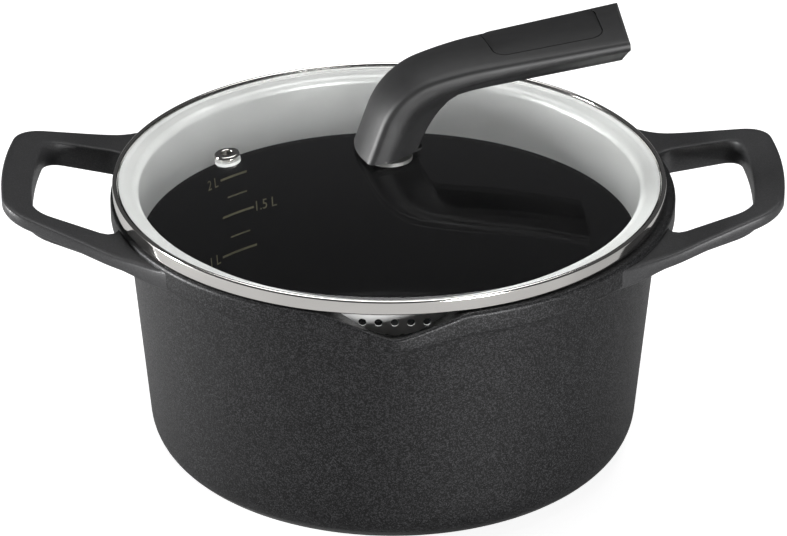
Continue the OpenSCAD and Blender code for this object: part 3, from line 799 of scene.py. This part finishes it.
def patch(bm, rings):
    """Skins rings, given as (grow, share, lift), and closes the first and the last to a point."""
    loops = [[bm.verts.new(spot) for spot in patch_ring(*ring)] for ring in rings]
    for first, second in zip(loops, loops[1:]):
        for k in range(len(first)):
            n = (k + 1) % len(first)
            bm.faces.new((first[k], first[n], second[n], second[k]))
    bm.faces.new(loops[0])
    bm.faces.new(loops[-1])
    bmesh.ops.recalc_face_normals(bm, faces=bm.faces)


POCKET_GAP, POCKET_DEPTH, CUT_TOP = 0.4, 0.9, 3
PLATE_DEPTH, PLATE_CREST, PLATE_EDGE = 0.85, 0.02, 0.12
inner_rings = [0.1, 0.3, 0.5, 0.7, 0.85]

# %% Pocket
bm = bmesh.new()
patch(bm, [(POCKET_GAP, s, -POCKET_DEPTH) for s in inner_rings + [1]]
      + [(POCKET_GAP, s, CUT_TOP) for s in [1] + inner_rings[::-1]])
cutter_mesh = bpy.data.meshes.new("pocket_cutter")
bm.to_mesh(cutter_mesh)
bm.free()
cutter = bpy.data.objects.new("pocket_cutter", cutter_mesh)
bpy.context.scene.collection.objects.link(cutter)
cut_step = grip.modifiers.new("pocket", "BOOLEAN")
cut_step.operation, cut_step.solver, cut_step.object = "DIFFERENCE", "EXACT", cutter
bpy.context.view_layer.update()
evaluated = grip.evaluated_get(bpy.context.evaluated_depsgraph_get())
cut_mesh = bpy.data.meshes.new_from_object(evaluated)
grip.modifiers.clear()
grip.data = cut_mesh
bpy.data.objects.remove(cutter)
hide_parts("lid_grip")
print("grip with its pocket has", len(cut_mesh.polygons), "faces")

# %% Plate
bm = bmesh.new()
patch(bm, [(0, s, -PLATE_DEPTH) for s in inner_rings + [1]] + [(0, 1, -0.1)]
      + [(-PLATE_EDGE, s, PLATE_CREST) for s in [1] + inner_rings[::-1]])
plate = finish_piece(bm, "inlay_plate", "lid", inlay_plastic, merge=False, sharp=40)
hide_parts("grip_inlay")

# %% [markdown]
# ## Level marks
# Inside the pot a scale of printed lines shows the contents in half litres, with shorter lines in
# between. A line is a thin strip bent round the cone of the wall. The figures start as text, are
# turned into a mesh and are bent in the same way, so that they lie on the wall like the lines.

# %% Lines of the scale
ONE_L, ONE_HALF_L, TWO_L = 42.5, 59.15, 75.3
LITRE_LINE, BETWEEN_LINE, MARK_LIFT, MARK_T = 0.9, 0.6, 0.06, 0.1


def on_wall(angle, z, lift):
    """A point on the inner wall, lifted off it by lift."""
    a, r = math.radians(angle), cavity_r(z) - lift
    return Vector((r * math.cos(a), r * math.sin(a), z)) * MM


bm = bmesh.new()
for z, start, end, thick in ((ONE_L, 136.45, 125.6, LITRE_LINE), (49.6, 133.3, 127.3, BETWEEN_LINE),
                             (ONE_HALF_L, 135.3, 125.7, LITRE_LINE),
                             (66.95, 133.2, 127.4, BETWEEN_LINE),
                             (TWO_L, 135.0, 127.0, LITRE_LINE)):
    strip = bmesh.ops.create_grid(bm, x_segments=24, y_segments=1, size=0.5)["verts"]
    faces = list({face for vert in strip for face in vert.link_faces})
    for vert in strip:
        vert.co = on_wall(start + (end - start) * (vert.co.x + 0.5), z + thick * vert.co.y, MARK_LIFT)
    bmesh.ops.recalc_face_normals(bm, faces=faces)
    bmesh.ops.solidify(bm, geom=faces, thickness=MARK_T * MM)
finish_piece(bm, "scale_lines", "pot", mark_print, merge=False, sharp=40)

# %% Figures of the scale
FIGURE_H, FIGURE_LIFT, FIGURE_BED = 4.2, 0.08, -0.02


def wall_text(name, words, start, end, z):
    """Text bent onto the wall between two angles, with its middle at height z."""
    curve = bpy.data.curves.new(name, "FONT")
    curve.body, curve.extrude = words, 0.05
    text = bpy.data.objects.new(name, curve)
    mesh = bpy.data.meshes.new_from_object(text)
    bpy.data.objects.remove(text)
    bm = bmesh.new()
    bm.from_mesh(mesh)
    xs, ys = [v.co.x for v in bm.verts], [v.co.y for v in bm.verts]
    for vert in bm.verts:
        across = (vert.co.x - min(xs)) / (max(xs) - min(xs))
        up = (vert.co.y - min(ys)) / (max(ys) - min(ys)) - 0.5
        lift = FIGURE_LIFT if vert.co.z > 0 else FIGURE_BED
        vert.co = on_wall(start + (end - start) * across, z + FIGURE_H * up, lift)
    finish_piece(bm, name, "pot", mark_print, sharp=30)


wall_text("figure_one", "1 L", 140.6, 137.2, ONE_L)
wall_text("figure_one_half", "1.5 L", 125.0, 119.2, ONE_HALF_L)
wall_text("figure_two", "2 L", 139.2, 135.8, TWO_L)

# %% [markdown]
# ## Floor, light and sky
# The floor is pale and carries a soft shadow. Seen directly it is brightened towards white, which
# adds no light to the pot. Three soft lamps shape the metal: a broad low one to the front right,
# a narrow low one to the left and a large one overhead. The sky is a dim, even grey.

# %% Floor
SEEN_GLOW = 0.8
bm = bmesh.new()
bmesh.ops.create_grid(bm, x_segments=1, y_segments=1, size=4)
mesh = bpy.data.meshes.new("floor")
bm.to_mesh(mesh)
bm.free()
floor = bpy.data.objects.new("floor", mesh)
bpy.context.scene.collection.objects.link(floor)
floor_paint, tree, shader, coords = new_material("floor_paint")
shader.inputs["Roughness"].default_value = 0.9
shader.inputs["Specular IOR Level"].default_value = 0.1
tree.links.new(ramp(tree, noise(tree, coords, 3, 2), [(0.3, (0.6, 0.6, 0.6)), (0.7, (0.62, 0.62, 0.62))]),
               shader.inputs["Base Color"])
rays = tree.nodes.new("ShaderNodeLightPath")
seen = tree.nodes.new("ShaderNodeMath")
seen.operation = "MAXIMUM"
tree.links.new(rays.outputs["Is Camera Ray"], seen.inputs[0])
tree.links.new(rays.outputs["Is Transmission Ray"], seen.inputs[1])
glow = tree.nodes.new("ShaderNodeMath")
glow.operation = "MULTIPLY"
glow.inputs[1].default_value = SEEN_GLOW
tree.links.new(seen.outputs["Value"], glow.inputs[0])
shader.inputs["Emission Color"].default_value = (1, 1, 1, 1)
tree.links.new(glow.outputs["Value"], shader.inputs["Emission Strength"])
floor.data.materials.append(floor_paint)

# %% Lamps and sky
def soft_lamp(name, place, target, width, height, power):
    data = bpy.data.lights.new(name, "AREA")
    data.shape = "RECTANGLE"
    data.size, data.size_y, data.energy = width, height, power
    lamp = bpy.data.objects.new(name, data)
    bpy.context.scene.collection.objects.link(lamp)
    lamp.location = place
    lamp.rotation_euler = (Vector(target) - Vector(place)).to_track_quat("-Z", "Y").to_euler()


soft_lamp("front_right_lamp", (1.0, -1.6, 0.22), (0, 0, 0.05), 0.7, 0.3, 46)
soft_lamp("left_lamp", (-1.7, 0.05, 0.22), (0, 0, 0.05), 0.3, 0.3, 48)
soft_lamp("top_lamp", (0.0, 0.3, 1.7), (0, 0, 0.1), 1.6, 1.2, 20)
world = bpy.data.worlds.new("studio")
bpy.context.scene.world = world
world.use_nodes = True
world.node_tree.nodes["Background"].inputs["Color"].default_value = (0.07, 0.07, 0.072, 1)
world.node_tree.nodes["Background"].inputs["Strength"].default_value = 1.0
bpy.context.scene.view_settings.view_transform = "Standard"
